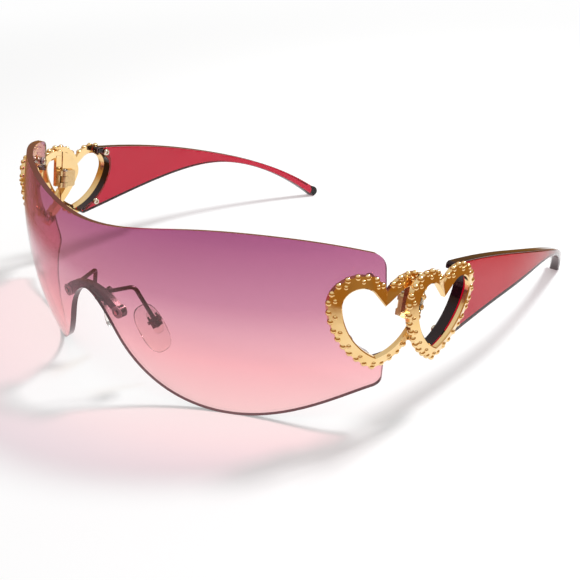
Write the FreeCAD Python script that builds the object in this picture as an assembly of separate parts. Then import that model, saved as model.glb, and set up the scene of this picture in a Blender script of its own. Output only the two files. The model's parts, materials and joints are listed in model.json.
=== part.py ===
import FreeCAD, Part
import math
import os

# Shield sunglasses with a pair of linked, beaded hearts at each side, in millimetres.
# +Z is up from the table, the lens faces -Y and the wearer's left is +X.
# Pieces are drawn with the lens front at y = 0 and moved to the middle of the depth on export.

V = FreeCAD.Vector
ORIGIN = V(0, 0, 0)
AXIS_X = V(1, 0, 0)
AXIS_Y = V(0, 1, 0)
AXIS_Z = V(0, 0, 1)

# One-piece spherical lens
LENS_RADIUS = 87.0
LENS_THICKNESS = 1.8
LENS_HALF_WIDTH = 70.0
LENS_CENTRE_Z = 30.0
LENS_TOP_CORNER = 4.0
LENS_LOW_CORNER = 3.0
LENS_HOLE = 1.7
# Corner edges are told by their longitude in degrees and their length, to within this
EDGE_MATCH = 0.1
# Edge heights over the table, at shares of the angle from the middle of the lens to its end
LENS_TOP_EDGE = ((0.0, 47.4), (0.4, 50.8), (0.62, 51.2), (0.8, 49.8), (1.0, 46.2))
LENS_LOW_EDGE = ((0.0, 28.9), (0.055, 26.5), (0.136, 16.1), (0.272, 4.6),
                 (0.454, 0.0), (0.75, 3.7), (1.0, 11.4))

# Heart castings: two round lobes, two bowed sides and an open middle
LOBE_RADIUS = 7.3
LOBE_OFFSET = 6.5
LOBE_HEIGHT = 16.5
SIDE_RADIUS = 20.0
BAND_WIDTH = 2.95
CLEFT_WEB = 3.5
HEART_THICKNESS = 2.2
HEART_LEAN = 10.0
# Section of the band: face falling to the outer wall, rolled inner lip, short inner wall, chamfered back
FACE_FALL = 0.8
LIP_WIDTH = 0.3
LIP_FALL = 0.25
INNER_WALL = 1.05
BACK_CHAMFER = 0.9
BACK_CLEAR = 0.12
WALL_INSET = 0.02
EDGE_POINTS = 9
# Beads round the outer wall and studs along the face
BEAD_DIAMETER = 1.7
BEAD_PITCH = 2.45
BEAD_INSET = 0.3
BEAD_HEIGHT = 1.0
STUD_DIAMETER = 1.2
STUD_HEIGHT = 0.45
STUD_PITCH = 4.1
STUD_INSET = 1.3
# Lens and temple are notched under the hearts' openings
NOTCH_MARGIN = 0.25
NOTCH_REAR_MARGIN = 1.7

# Front heart: bent round an upright axis, standing off the lens end
BEND_RADIUS = 25.8
HEART_SEAT_INSET = 11.4
HEART_LIFT = 0.8
SEAT_FIT = 0.02
FRONT_AZIMUTH = 63.5
FRONT_TIP_Z = 18.3
BOSS_DIAMETER = 2.7

# Rear heart: flat, one layer outside the front heart and overlapping its rear lobe
LAYER_GAP = 0.8
HEART_OVERLAP = 10.9
CROSSING_MARGIN = 0.35
REAR_TIP_Z = 16.1

# Screws that hold the hearts to the lens and to the temples
SCREW_DIAMETER = 1.3
SCREW_HEAD = 2.2
SCREW_HEAD_HEIGHT = 0.7
SCREW_RECESS = 1.1
SCREW_RECESS_DEPTH = 0.45
SCREW_BITE = 1.2
SCREW_FIT = 0.02
SCREW_END = 0.1
TEMPLE_SCREW_TURN = 58.0
LENS_SCREW_TURN = 110.0
SCREW_SIDE_TURN = 49.0
SCREW_SHIFT = 0.35
WASHER_THICKNESS = 0.4
WASHER_DIAMETER = 2.4

# Three-knuckle hinge on the inner side of the hearts
HINGE_Z = 31.4
HINGE_PIN = 1.2
HINGE_BARREL = 2.4
HINGE_RUNNING = 0.04
HINGE_HEIGHT = 5.4
HINGE_MID = 2.0
HINGE_END_GAP = 0.15
HINGE_CLEAR = 0.3
LEAF_FRONT = 2.1
LEAF_REAR = 4.4
LEAF_THICKNESS = 1.3
LEAF_CORNER = 0.6
SPLIT_GAP = 0.4
WEB_WIDTH = 2.3
PIN_HEAD = 2.2
PIN_HEAD_HEIGHT = 0.6

# Temples
TEMPLE_THICKNESS = 3.0
TEMPLE_ROUND = 0.5
TEMPLE_LENGTH = 102.9
TEMPLE_STRAIGHT = 36.4
TEMPLE_BOW_RADIUS = 134.0
TEMPLE_HOLE = 1.5
UPPER_PRONG = 9.8
PRONG_TOP_Z = 38.2
LOWER_PRONG = 1.0
PRONG_LOW_Z = 16.6
# Edge heights over the table, at shares of the length behind the rear heart's tip
TEMPLE_TOP_EDGE = ((0.25, 35.1), (0.44, 29.9), (0.63, 23.5), (0.815, 15.6), (0.985, 4.2))
TEMPLE_LOW_EDGE = ((0.25, 19.4), (0.44, 20.9), (0.63, 20.2), (0.815, 13.2), (0.985, 0.0))
PRONG_ROUND = 1.2

# Nose bridge and pads
BRIDGE_RADIUS = 14.5
BRIDGE_CENTRE_Z = 14.3
BRIDGE_WIDTH = 2.6
BRIDGE_THICKNESS = 1.5
BRIDGE_GAP = 0.3
BRIDGE_HALF_ANGLE = 44.0
BRIDGE_EYE = 3.3
BRIDGE_SCREW_HEAD = 2.6
BRIDGE_BITE = 1.0
ARM_WIRE = 1.1
ARM_ROOT_ANGLE = 18.5
ARM_ROOT_RISE = 0.6
ARM_KNEE = V(8.1, 10.1, 28.6)
ARM_BEND = 2.0
ARM_SEAT_SHARE = 0.35
PAD_PIN = V(11.4, 13.2, 18.8)
PAD_LENGTH = 14.6
PAD_WIDTH = 7.0
PAD_THICKNESS = 2.2
PAD_ROUND = 0.9
PAD_DOWN = V(0.30, 0.26, -0.92)
PAD_DROP = 2.7
PAD_AHEAD = 1.4
PAD_BACK = V(0.46, 0.88, 0.0)
PAD_STANDOFF = 1.5
CORE_LENGTH = 7.0
CORE_WIDTH = 2.8
CORE_THICKNESS = 0.5
CORE_FIT = 0.02
LUG_WIDTH = 1.2
LUG_HEIGHT = 1.8
BOX_WALL = 0.55
BOX_HEIGHT = 2.6
BOX_GAP = 0.3
PAD_SCREW = 0.9
PAD_SCREW_HEAD = 1.5
PAD_SCREW_HEAD_HEIGHT = 0.45


def along_z(shape, direction, base):
    """Turn a shape drawn along +Z from the origin to start at base along direction."""
    turned = shape.copy()
    turned.Placement = FreeCAD.Placement(base, FreeCAD.Rotation(AXIS_Z, direction))
    return turned


def cylinder(base, direction, diameter, length):
    return along_z(Part.makeCylinder(diameter / 2, length), direction, base)


def polar(radius, degrees):
    """Point in the XZ plane at an angle from +X."""
    angle = math.radians(degrees)
    return V(radius * math.cos(angle), 0, radius * math.sin(angle))


def solid_of(shape):
    """The one solid that a boolean leaves."""
    return shape.removeSplitter().Solids[0]


# Lens places: longitude is measured round the lens centre from the middle towards +X
LENS_CENTRE = V(0, LENS_RADIUS, LENS_CENTRE_Z)
LENS_END = math.degrees(math.asin(LENS_HALF_WIDTH / LENS_RADIUS))
LENS_INNER_RADIUS = LENS_RADIUS - LENS_THICKNESS


def lens_normal(longitude, height):
    """Outward unit vector of the lens at a longitude and a height over the table."""
    rise = math.asin((height - LENS_CENTRE_Z) / LENS_RADIUS)
    turn = math.radians(longitude)
    return V(math.sin(turn) * math.cos(rise), -math.cos(turn) * math.cos(rise), math.sin(rise))


def lens_longitude(point):
    """Longitude of a point in degrees, on either side of the middle of the lens."""
    return math.degrees(math.atan2(abs(point.x), LENS_CENTRE.y - point.y))


def sphere(radius):
    return Part.makeSphere(radius, LENS_CENTRE)


def lens_ring(outer, inner, near, far, base, outward):
    """Ring round an axis through the lens centre, with faces that follow the lens."""
    tube = cylinder(base - outward * LENS_RADIUS / 2, outward, outer, LENS_RADIUS)
    tube = tube.cut(cylinder(base - outward * LENS_RADIUS / 2, outward, inner, LENS_RADIUS))
    return solid_of(tube.common(sphere(far)).cut(sphere(near)))


def head_seat(radius, head):
    """Distance from the lens centre at which a flat screw head clears a face of that radius."""
    return math.sqrt(radius ** 2 - head ** 2 / 4)


def mirrored_points(half):
    """Edge points from the -X end to the +X end, from the half given on +X."""
    left = [(-share, height) for share, height in reversed(half) if share > 0]
    return left + list(half)


def lens_edge(half, reach):
    """Curve of an edge seen from the lens centre, drawn at the given depth before it."""
    points = []
    for share, height in mirrored_points(half):
        normal = lens_normal(share * LENS_END, height)
        points.append(LENS_CENTRE + normal * (reach / -normal.y))
    curve = Part.BSplineCurve()
    curve.interpolate(points)
    return curve.toShape()


def lens_outline(reach):
    top = lens_edge(LENS_TOP_EDGE, reach)
    low = lens_edge(LENS_LOW_EDGE, reach)
    right_end = Part.makeLine(low.Vertexes[-1].Point, top.Vertexes[-1].Point)
    left_end = Part.makeLine(top.Vertexes[0].Point, low.Vertexes[0].Point)
    return Part.Wire([low, right_end, top, left_end])


def make_lens_blank():
    """Shell of a sphere, cut square to its surface by the outline and rounded at its corners."""
    shell = sphere(LENS_RADIUS).cut(sphere(LENS_INNER_RADIUS))
    near = LENS_INNER_RADIUS * math.cos(math.radians(LENS_END)) * 0.8
    far = LENS_RADIUS * 1.2
    cutter = Part.makeLoft([lens_outline(near), lens_outline(far)], True, True)
    blank = solid_of(shell.common(cutter))
    top_corners = []
    low_corners = []
    for edge in blank.Edges:
        middle = edge.CenterOfMass
        at_end = abs(lens_longitude(middle) - LENS_END) < EDGE_MATCH
        if at_end and abs(edge.Length - LENS_THICKNESS) < EDGE_MATCH:
            if middle.z > LENS_CENTRE_Z:
                top_corners.append(edge)
            else:
                low_corners.append(edge)
    blank = blank.makeFillet(LENS_TOP_CORNER, top_corners)
    low_corners = [edge for edge in blank.Edges
                   if any(edge.CenterOfMass.distanceToPoint(old.CenterOfMass) < 0.01 for old in low_corners)]
    return blank.makeFillet(LENS_LOW_CORNER, low_corners)


# Heart outlines, drawn in the XZ plane with the tip at the origin
def side_centre():
    """Centre of the right-hand side arc: through the tip and tangent to the right lobe."""
    lobe = V(LOBE_OFFSET, 0, LOBE_HEIGHT)
    reach = SIDE_RADIUS - LOBE_RADIUS
    spread = lobe.Length
    along = (SIDE_RADIUS ** 2 - reach ** 2 + spread ** 2) / (2 * spread)
    across = math.sqrt(SIDE_RADIUS ** 2 - along ** 2)
    forward = lobe * (1 / spread)
    return forward * along + V(-forward.z, 0, forward.x) * across


def arc_between(centre, radius, start, end):
    """Arc round a centre from one angle to another, in degrees."""
    middle = (start + end) / 2
    ends = [centre + polar(radius, angle) for angle in (start, middle, end)]
    return Part.Arc(*ends).toShape()


def half_heart(inset):
    """Edges of the right half from cleft to tip, moved inwards by inset."""
    lobe = V(LOBE_OFFSET, 0, LOBE_HEIGHT)
    side = side_centre()
    lobe_radius = LOBE_RADIUS - inset
    side_radius = SIDE_RADIUS - inset
    turn = math.degrees(math.atan2(lobe.z - side.z, lobe.x - side.x))
    outer_cleft = LOBE_HEIGHT + math.sqrt(LOBE_RADIUS ** 2 - LOBE_OFFSET ** 2)
    edges = []
    if inset > 0:
        cleft = V(0, 0, outer_cleft - CLEFT_WEB * inset / BAND_WIDTH)
        span = cleft - lobe
        start = math.degrees(math.atan2(span.z, span.x) - math.acos(lobe_radius / span.Length)) % 360
        edges.append(Part.makeLine(cleft, lobe + polar(lobe_radius, start)))
    else:
        start = math.degrees(math.atan2(outer_cleft - LOBE_HEIGHT, -LOBE_OFFSET))
    edges.append(arc_between(lobe, lobe_radius, start, turn))
    tip_turn = -math.degrees(math.acos(-side.x / side_radius))
    edges.append(arc_between(side, side_radius, turn, tip_turn))
    return Part.Wire(edges)


def heart_wire(inset):
    right = half_heart(inset)
    left = right.mirror(ORIGIN, AXIS_X)
    edges = Part.sortEdges(right.Edges + left.Edges)[0]
    return Part.Wire(edges)


def leaned(shape):
    turned = shape.copy()
    turned.rotate(ORIGIN, AXIS_Y, HEART_LEAN)
    return turned


def heart_prism(inset, near, far):
    """Leaning heart as a block from near to far in front of its plane."""
    face = Part.Face(leaned(heart_wire(inset)))
    face.translate(V(0, -far, 0))
    return face.extrude(V(0, far - near, 0))


def face_height(inset):
    """Height of the sloping face over the back, at an inset from the outer wall."""
    return HEART_THICKNESS - FACE_FALL * (1 - inset / (BAND_WIDTH - LIP_WIDTH))


BAND_PROFILE = (
    (WALL_INSET, BACK_CLEAR),
    (WALL_INSET, face_height(WALL_INSET)),
    (BAND_WIDTH - LIP_WIDTH, HEART_THICKNESS),
    (BAND_WIDTH, HEART_THICKNESS - LIP_FALL),
    (BAND_WIDTH, HEART_THICKNESS - LIP_FALL - INNER_WALL),
    (BAND_WIDTH - BACK_CHAMFER, BACK_CLEAR),
)


def band_section(inset, height, depth_at):
    """Leaning outline at an inset, laid on the flat or bent surface at a height over the back."""
    edges = []
    for edge in leaned(heart_wire(inset)).Edges:
        flat = edge.discretize(Number=EDGE_POINTS)
        points = [V(point.x, -depth_at(point.x, height), point.z) for point in flat]
        curve = Part.BSplineCurve()
        curve.interpolate(points)
        edges.append(curve.toShape())
    return Part.Wire(edges)


def heart_band(depth_at):
    """Band with its section carried all round the heart."""
    sections = [band_section(inset, height, depth_at) for inset, height in BAND_PROFILE]
    return Part.makeSolid(Part.makeLoft(sections, False, True, True))


def outline_steps(inset, pitch):
    """Even leaning steps from the cleft to the tip on both sides, each with its two neighbours."""
    half = half_heart(inset)
    count = max(3, int(round(half.Length / pitch)) + 1)
    right = half.discretize(Number=count)
    left = [V(-point.x, 0, point.z) for point in reversed(right[:-1])]
    turn = FreeCAD.Rotation(AXIS_Y, HEART_LEAN)
    path = [turn.multVec(point) for point in right + left]
    return [path[step - 1:step + 2] for step in range(1, len(path) - 1)]


def ball(radius, steps, height, hidden, depth_at):
    """Sphere on the band whose seam and poles lie inside the casting."""
    before, centre, after = [V(point.x, -depth_at(point.x, height), point.z) for point in steps]
    along = (after - before).normalize()
    inward = (hidden - along * hidden.dot(along)).normalize()
    placed = Part.makeSphere(radius)
    placed.Placement = FreeCAD.Placement(centre, FreeCAD.Rotation(inward, along.cross(inward), along, "ZXY"))
    return placed


def heart_trim(depth_at):
    """Beads round the outer wall and studs along the face."""
    middle = leaned(Part.Vertex(V(0, 0, LOBE_HEIGHT))).Point
    balls = []
    for steps in outline_steps(BEAD_INSET, BEAD_PITCH):
        balls.append(ball(BEAD_DIAMETER / 2, steps, BEAD_HEIGHT, middle - steps[1], depth_at))
    stud_radius = (STUD_DIAMETER ** 2 / 4 + STUD_HEIGHT ** 2) / (2 * STUD_HEIGHT)
    stud_centre = face_height(STUD_INSET) + STUD_HEIGHT - stud_radius
    for steps in outline_steps(STUD_INSET, STUD_PITCH):
        balls.append(ball(stud_radius, steps, stud_centre, AXIS_Y, depth_at))
    return balls


def screw_spot(side, turn):
    """The two screw places on one half of a heart, leaning, on the band."""
    lobe = V(LOBE_OFFSET, 0, LOBE_HEIGHT)
    middle = BAND_WIDTH / 2 - SCREW_SHIFT
    upper = lobe + polar(LOBE_RADIUS - middle, turn)
    lower = side_centre() + polar(SIDE_RADIUS - middle, -SCREW_SIDE_TURN)
    lean = FreeCAD.Rotation(AXIS_Y, HEART_LEAN)
    return [lean.multVec(V(side * point.x, 0, point.z)) for point in (upper, lower)]


# Places that the lens end gives: the bend axis of the front heart, the layers and the hinge
SEAT_LONGITUDE = LENS_END - math.degrees(HEART_SEAT_INSET / LENS_RADIUS)
SEAT_TURN = math.radians(SEAT_LONGITUDE)
BEND_REACH = LENS_RADIUS + HEART_LIFT - BEND_RADIUS
BEND_AXIS = V(BEND_REACH * math.sin(SEAT_TURN), LENS_RADIUS - BEND_REACH * math.cos(SEAT_TURN), FRONT_TIP_Z)
FACE_RADIUS = BEND_RADIUS + HEART_THICKNESS
REAR_BACK_X = BEND_AXIS.x + FACE_RADIUS + LAYER_GAP
FRONT_TURN = math.radians(FRONT_AZIMUTH)


def front_place(shape):
    """Move a shape from the heart's own plane to the bent front heart."""
    placed = shape.copy()
    placed.rotate(ORIGIN, AXIS_Z, FRONT_AZIMUTH)
    placed.translate(BEND_AXIS)
    return placed


def front_depth(across, height):
    """Distance in front of the bend axis, at a distance across and a height over the bent back."""
    return math.sqrt((BEND_RADIUS + height) ** 2 - across ** 2)


def bend_cylinder(radius):
    """Upright cylinder round the bend axis of the front heart."""
    return Part.makeCylinder(radius, 3 * SIDE_RADIUS, BEND_AXIS - V(0, 0, SIDE_RADIUS))


def rear_depth(across, height):
    """Distance in front of the flat back, the same all across."""
    return height


def lobe_reach(side):
    """Sideways reach of a leaning heart from its tip."""
    turn = FreeCAD.Rotation(AXIS_Y, HEART_LEAN)
    return turn.multVec(V(side * LOBE_OFFSET, 0, LOBE_HEIGHT)).x + side * LOBE_RADIUS


FRONT_REACH = lobe_reach(1)
FRONT_REAR_Y = (BEND_AXIS.y + FRONT_REACH * math.sin(FRONT_TURN)
                - front_depth(FRONT_REACH, HEART_THICKNESS) * math.cos(FRONT_TURN))
REAR_TIP = V(REAR_BACK_X, FRONT_REAR_Y - HEART_OVERLAP - lobe_reach(-1), REAR_TIP_Z)
HINGE_X = BEND_AXIS.x + BEND_RADIUS - HINGE_CLEAR - HINGE_BARREL / 2
HINGE = V(HINGE_X, FRONT_REAR_Y - HEART_OVERLAP / 2, HINGE_Z)
HINGE_ROTATION = FreeCAD.Rotation(AXIS_X, -HEART_LEAN)


def hinge_place(shape):
    """Move a shape drawn round the upright origin to the leaning hinge axis."""
    placed = shape.copy()
    placed.Placement = FreeCAD.Placement(HINGE, HINGE_ROTATION).multiply(placed.Placement)
    return placed


def behind_hinge(start):
    """Block that holds everything from start behind the hinge axis."""
    size = 4 * SIDE_RADIUS
    return hinge_place(Part.makeBox(size, size, size, V(-size / 2, start, -size / 2)))


def hinge_web():
    """Block that keeps the castings closed round the hinge, from its lower end up to the lobe."""
    size = 4 * SIDE_RADIUS
    return hinge_place(Part.makeBox(size, size, size, V(-size / 2, -WEB_WIDTH, -HINGE_HEIGHT / 2)))


def rear_place(shape):
    """Move a shape from the heart's own plane, back at y = 0, to the rear heart."""
    placed = shape.copy()
    placed.rotate(ORIGIN, AXIS_Z, 90)
    placed.translate(REAR_TIP)
    return placed


def lens_axes():
    """Base on the lens's outer face and outward direction of each screw through the lens."""
    axes = []
    for point in screw_spot(-1, LENS_SCREW_TURN):
        middle = V(point.x, -front_depth(point.x, HEART_THICKNESS / 2), point.z)
        turned = FreeCAD.Rotation(AXIS_Z, FRONT_AZIMUTH).multVec(middle) + BEND_AXIS
        outward = (turned - LENS_CENTRE).normalize()
        axes.append((LENS_CENTRE + outward * LENS_RADIUS, outward))
    return axes


def make_whole_front_heart():
    """Bent band with its trim and hinge web, before it is split."""
    band = front_place(heart_band(front_depth))
    trim = [front_place(piece) for piece in heart_trim(front_depth)]
    outer = BEND_RADIUS + face_height(WALL_INSET)
    bent = Part.makeCylinder(outer, 3 * SIDE_RADIUS, V(0, 0, -SIDE_RADIUS))
    bent = bent.cut(Part.makeCylinder(BEND_RADIUS, 3 * SIDE_RADIUS, V(0, 0, -SIDE_RADIUS)))
    plate = front_place(bent.common(heart_prism(BAND_WIDTH / 2, BEND_RADIUS / 2, 2 * BEND_RADIUS)))
    return solid_of(band.multiFuse(trim + [plate.common(hinge_web())]))


def boss_at(base, outward):
    """Boss that fills the space between the lens and the bent heart."""
    boss = cylinder(base, outward, BOSS_DIAMETER, 2 * HEART_LIFT + HEART_THICKNESS)
    return boss.common(bend_cylinder(BEND_RADIUS + HEART_THICKNESS / 2))


def lens_pocket():
    """Room for the lens end in the back of the front heart."""
    side = 2 * LENS_RADIUS
    block = Part.makeBox(side, side, side, V(SEAT_FIT - side, -side, -LENS_RADIUS))
    block.rotate(ORIGIN, AXIS_Z, LENS_END)
    block.translate(LENS_CENTRE)
    return sphere(LENS_RADIUS + SEAT_FIT).common(block)


def make_front_heart(whole):
    front = whole.cut(behind_hinge(-SPLIT_GAP / 2))
    for base, outward in lens_axes():
        front = front.fuse(boss_at(base, outward))
    front = front.cut(lens_pocket())
    for base, outward in lens_axes():
        bore = cylinder(base - outward * LENS_THICKNESS, outward, SCREW_DIAMETER + 2 * SCREW_FIT,
                        LENS_THICKNESS + HEART_LIFT + SCREW_BITE)
        front = front.cut(bore)
    return solid_of(front)


def make_rear_heart(whole):
    """Flat heart with the rear end of the front heart's lobe cast on behind the hinge."""
    flat = rear_place(solid_of(heart_band(rear_depth).multiFuse(heart_trim(rear_depth))))
    lobe_end = whole.common(behind_hinge(SPLIT_GAP / 2))
    reach = HEART_THICKNESS + LAYER_GAP
    inner = BAND_WIDTH - BACK_CHAMFER - CROSSING_MARGIN
    crossing = heart_prism(CROSSING_MARGIN, -reach, HEART_THICKNESS / 2)
    crossing = rear_place(crossing.cut(heart_prism(inner, -reach, HEART_THICKNESS / 2)))
    lobe_block = front_place(heart_prism(0, BEND_RADIUS / 2, FACE_RADIUS + reach))
    crossing = crossing.common(lobe_block).common(behind_hinge(SPLIT_GAP / 2))
    crossing = crossing.cut(bend_cylinder(BEND_RADIUS + HEART_THICKNESS / 2))
    heart = flat.multiFuse([lobe_end, crossing])
    for point in screw_spot(1, TEMPLE_SCREW_TURN):
        bore = cylinder(V(0, SCREW_FIT, 0), -AXIS_Y, SCREW_DIAMETER + 2 * SCREW_FIT, SCREW_BITE)
        bore.translate(point)
        heart = heart.cut(rear_place(bore))
    return solid_of(heart)


def make_lens():
    """Blank with a notch under each front heart's opening and its screw holes."""
    lens = make_lens_blank()
    side = 2 * FACE_RADIUS
    rear_half = Part.makeBox(side, 2 * side, side, V(0, -side, 0))
    notch = heart_prism(BAND_WIDTH - NOTCH_MARGIN, BEND_RADIUS / 2, side)
    rear_notch = heart_prism(BAND_WIDTH - NOTCH_REAR_MARGIN, BEND_RADIUS / 2, side).common(rear_half)
    cuts = [front_place(notch), front_place(rear_notch)]
    for base, outward in lens_axes():
        cuts.append(cylinder(base - outward * 2 * LENS_THICKNESS, outward, LENS_HOLE, 3 * LENS_THICKNESS))
    cuts.append(bridge_hole())
    for cut in cuts:
        lens = lens.cut(cut).cut(cut.mirror(ORIGIN, AXIS_X))
    return solid_of(lens)


def pan_screw(length, diameter, head, head_height):
    """Screw along +Z with its head below the origin and a round recess in the head."""
    screw = Part.makeCylinder(diameter / 2, length)
    screw = screw.fuse(Part.makeCylinder(head / 2, head_height, V(0, 0, -head_height)))
    rim = [edge for edge in screw.Edges if abs(edge.CenterOfMass.z + head_height) < 0.001]
    return screw.makeFillet(head_height / 2, rim)


def recessed(screw, head_height, recess, depth):
    return screw.cut(Part.makeCylinder(recess / 2, depth, V(0, 0, -head_height)))


def heart_screw(length):
    screw = pan_screw(length, SCREW_DIAMETER, SCREW_HEAD, SCREW_HEAD_HEIGHT)
    return recessed(screw, SCREW_HEAD_HEIGHT, SCREW_RECESS, SCREW_RECESS_DEPTH)


def make_lens_screws():
    """Screws and washers on the inner face of the lens, up into the heart's bosses."""
    screws = []
    washers = []
    under_washer = LENS_INNER_RADIUS - WASHER_THICKNESS
    seat = head_seat(under_washer, SCREW_HEAD)
    length = LENS_RADIUS + HEART_LIFT + SCREW_BITE - SCREW_END - seat
    for base, outward in lens_axes():
        washers.append(lens_ring(WASHER_DIAMETER, SCREW_DIAMETER + 2 * SCREW_FIT, under_washer,
                                 LENS_INNER_RADIUS, base, outward))
        screws.append(along_z(heart_screw(length), outward, LENS_CENTRE + outward * seat))
    return Part.makeCompound(screws), Part.makeCompound(washers)


def make_temple_screws():
    screws = []
    for point in screw_spot(1, TEMPLE_SCREW_TURN):
        spot = V(REAR_BACK_X - TEMPLE_THICKNESS, REAR_TIP.y + point.x, REAR_TIP.z + point.z)
        screws.append(along_z(heart_screw(TEMPLE_THICKNESS + SCREW_BITE - SCREW_END), AXIS_X, spot))
    return Part.makeCompound(screws)


def leaf(free_end):
    """Plate of a hinge leaf, drawn round the upright axis, from the axis to its free end along Y."""
    inner = HINGE_BARREL / 2 + HINGE_CLEAR - LEAF_THICKNESS
    plate = Part.makeBox(2 * HINGE_BARREL, abs(free_end), HINGE_HEIGHT,
                         V(inner, min(free_end, 0), -HINGE_HEIGHT / 2))
    corners = [edge for edge in plate.Edges
               if edge.BoundBox.XLength > HINGE_BARREL and abs(edge.CenterOfMass.y - free_end) < 0.01]
    plate = plate.makeFillet(LEAF_CORNER, corners)
    room = Part.makeCylinder(HINGE_BARREL / 2 + HINGE_CLEAR, HINGE_HEIGHT, V(0, 0, -HINGE_HEIGHT / 2))
    return plate.cut(room)


def knuckle(bottom, height, side):
    """Barrel length with the tongue that joins it to the leaf on one side of the axis."""
    reach = HINGE_BARREL / 2 + 2 * HINGE_CLEAR
    corner = V(-HINGE_BARREL / 4, min(side * reach, 0), bottom)
    tongue = Part.makeBox(HINGE_BARREL * 0.75, reach, height, corner)
    return tongue.fuse(Part.makeCylinder(HINGE_BARREL / 2, height, V(0, 0, bottom)))


def seated_on_hearts(shape):
    """Trim a hinge leaf to the inner face of the bent castings."""
    return shape.common(bend_cylinder(BEND_RADIUS))


MID_HALF = HINGE_MID / 2
MID_SLOT = MID_HALF + HINGE_END_GAP
PIN_BORE = HINGE_PIN + 2 * HINGE_RUNNING


def hinge_leaf(free_end, knuckles):
    """Leaf with its knuckles, bored for the screw and trimmed to the castings."""
    body = leaf(free_end).multiFuse(knuckles)
    bore = Part.makeCylinder(PIN_BORE / 2, HINGE_HEIGHT, V(0, 0, -HINGE_HEIGHT / 2))
    return solid_of(seated_on_hearts(hinge_place(body.cut(bore))))


def make_front_leaf():
    """Leaf with the two outer knuckles."""
    height = HINGE_HEIGHT / 2 - MID_SLOT
    return hinge_leaf(-LEAF_FRONT, [knuckle(bottom, height, -1) for bottom in (-HINGE_HEIGHT / 2, MID_SLOT)])


def make_rear_leaf():
    """Leaf with the middle knuckle."""
    return hinge_leaf(LEAF_REAR, [knuckle(-MID_HALF, HINGE_MID, 1)])


def make_hinge_screw():
    pin = pan_screw(HINGE_HEIGHT, HINGE_PIN, PIN_HEAD, PIN_HEAD_HEIGHT)
    slot_width = HINGE_PIN / 4
    slot = Part.makeBox(PIN_HEAD, slot_width, PIN_HEAD_HEIGHT / 2,
                        V(-PIN_HEAD / 2, -slot_width / 2, -PIN_HEAD_HEIGHT))
    pin = pin.cut(slot)
    pin.rotate(ORIGIN, AXIS_X, 180)
    pin.translate(V(0, 0, HINGE_HEIGHT / 2))
    return hinge_place(pin)


def temple_edge(stations):
    """Curve through edge heights at shares of the length behind the rear heart's tip."""
    points = [V(0, REAR_TIP.y + share * TEMPLE_LENGTH, height) for share, height in stations]
    curve = Part.BSplineCurve()
    curve.interpolate(points)
    return curve.toShape()


def temple_side():
    """Block with the side outline of the temple: two prongs, waist and rounded end."""
    top = temple_edge(((UPPER_PRONG / TEMPLE_LENGTH, PRONG_TOP_Z),) + TEMPLE_TOP_EDGE)
    low = temple_edge(((LOWER_PRONG / TEMPLE_LENGTH, PRONG_LOW_Z),) + TEMPLE_LOW_EDGE)
    top_front = top.Vertexes[0].Point
    top_end = top.Vertexes[-1].Point
    low_front = low.Vertexes[0].Point
    low_end = low.Vertexes[-1].Point
    tip = V(0, REAR_TIP.y + TEMPLE_LENGTH, (top_end.z + low_end.z) / 2)
    lobe = V(0, top_front.y, REAR_TIP.z + LOBE_HEIGHT)
    foot = V(0, low_front.y, REAR_TIP.z + LOBE_HEIGHT / 2)
    outline = Part.Wire([top, Part.Arc(top_end, tip, low_end).toShape(), low, Part.makeLine(low_front, foot),
                         Part.makeLine(foot, lobe), Part.makeLine(lobe, top_front)])
    side = Part.Face(outline).extrude(V(2 * REAR_BACK_X, 0, 0))
    corners = [edge for edge in side.Edges if edge.BoundBox.XLength > REAR_BACK_X
               and min(edge.CenterOfMass.distanceToPoint(corner + V(REAR_BACK_X, 0, 0))
                       for corner in (top_front, low_front)) < 0.01]
    return side.makeFillet(PRONG_ROUND, corners)


def temple_band():
    """Upright band in plan: straight beside the hearts, then bowed in towards the ear."""
    bottom = -HINGE_Z / 2
    height = 2 * HINGE_Z
    bow_y = REAR_TIP.y + TEMPLE_STRAIGHT
    end_y = REAR_TIP.y + TEMPLE_LENGTH + TEMPLE_THICKNESS
    outer_radius = TEMPLE_BOW_RADIUS + TEMPLE_THICKNESS / 2
    bow_centre = V(REAR_BACK_X - outer_radius, bow_y, bottom)
    straight = Part.makeBox(TEMPLE_THICKNESS, TEMPLE_STRAIGHT + LOBE_RADIUS, height,
                            V(REAR_BACK_X - TEMPLE_THICKNESS, REAR_TIP.y - LOBE_RADIUS, bottom))
    bow = Part.makeCylinder(outer_radius, height, bow_centre)
    bow = bow.cut(Part.makeCylinder(outer_radius - TEMPLE_THICKNESS, height, bow_centre))
    rear = Part.makeBox(outer_radius, end_y - bow_y, height, bow_centre)
    return straight.fuse(bow.common(rear)).removeSplitter()


def make_temple():
    """Side outline cut from the bowed band, with the heart's notch and screw holes."""
    temple = solid_of(temple_side().common(temple_band()))
    long_edges = [edge for edge in temple.Edges if edge.BoundBox.YLength > TEMPLE_STRAIGHT / 2]
    temple = temple.makeFillet(TEMPLE_ROUND, long_edges)
    inset = BAND_WIDTH - BACK_CHAMFER + NOTCH_MARGIN / 2
    notch = rear_place(heart_prism(inset, -2 * TEMPLE_THICKNESS, TEMPLE_THICKNESS))
    temple = solid_of(temple.cut(notch))
    for point in screw_spot(1, TEMPLE_SCREW_TURN):
        bore = cylinder(V(0, 2 * TEMPLE_THICKNESS, 0), -AXIS_Y, TEMPLE_HOLE, 3 * TEMPLE_THICKNESS)
        bore.translate(point)
        temple = temple.cut(rear_place(bore))
    return solid_of(temple)


# Nose bridge
BRIDGE_OUTER = LENS_INNER_RADIUS - BRIDGE_GAP
BRIDGE_INNER = BRIDGE_OUTER - BRIDGE_THICKNESS
BRIDGE_CENTRE = V(0, 0, BRIDGE_CENTRE_Z)


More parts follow.
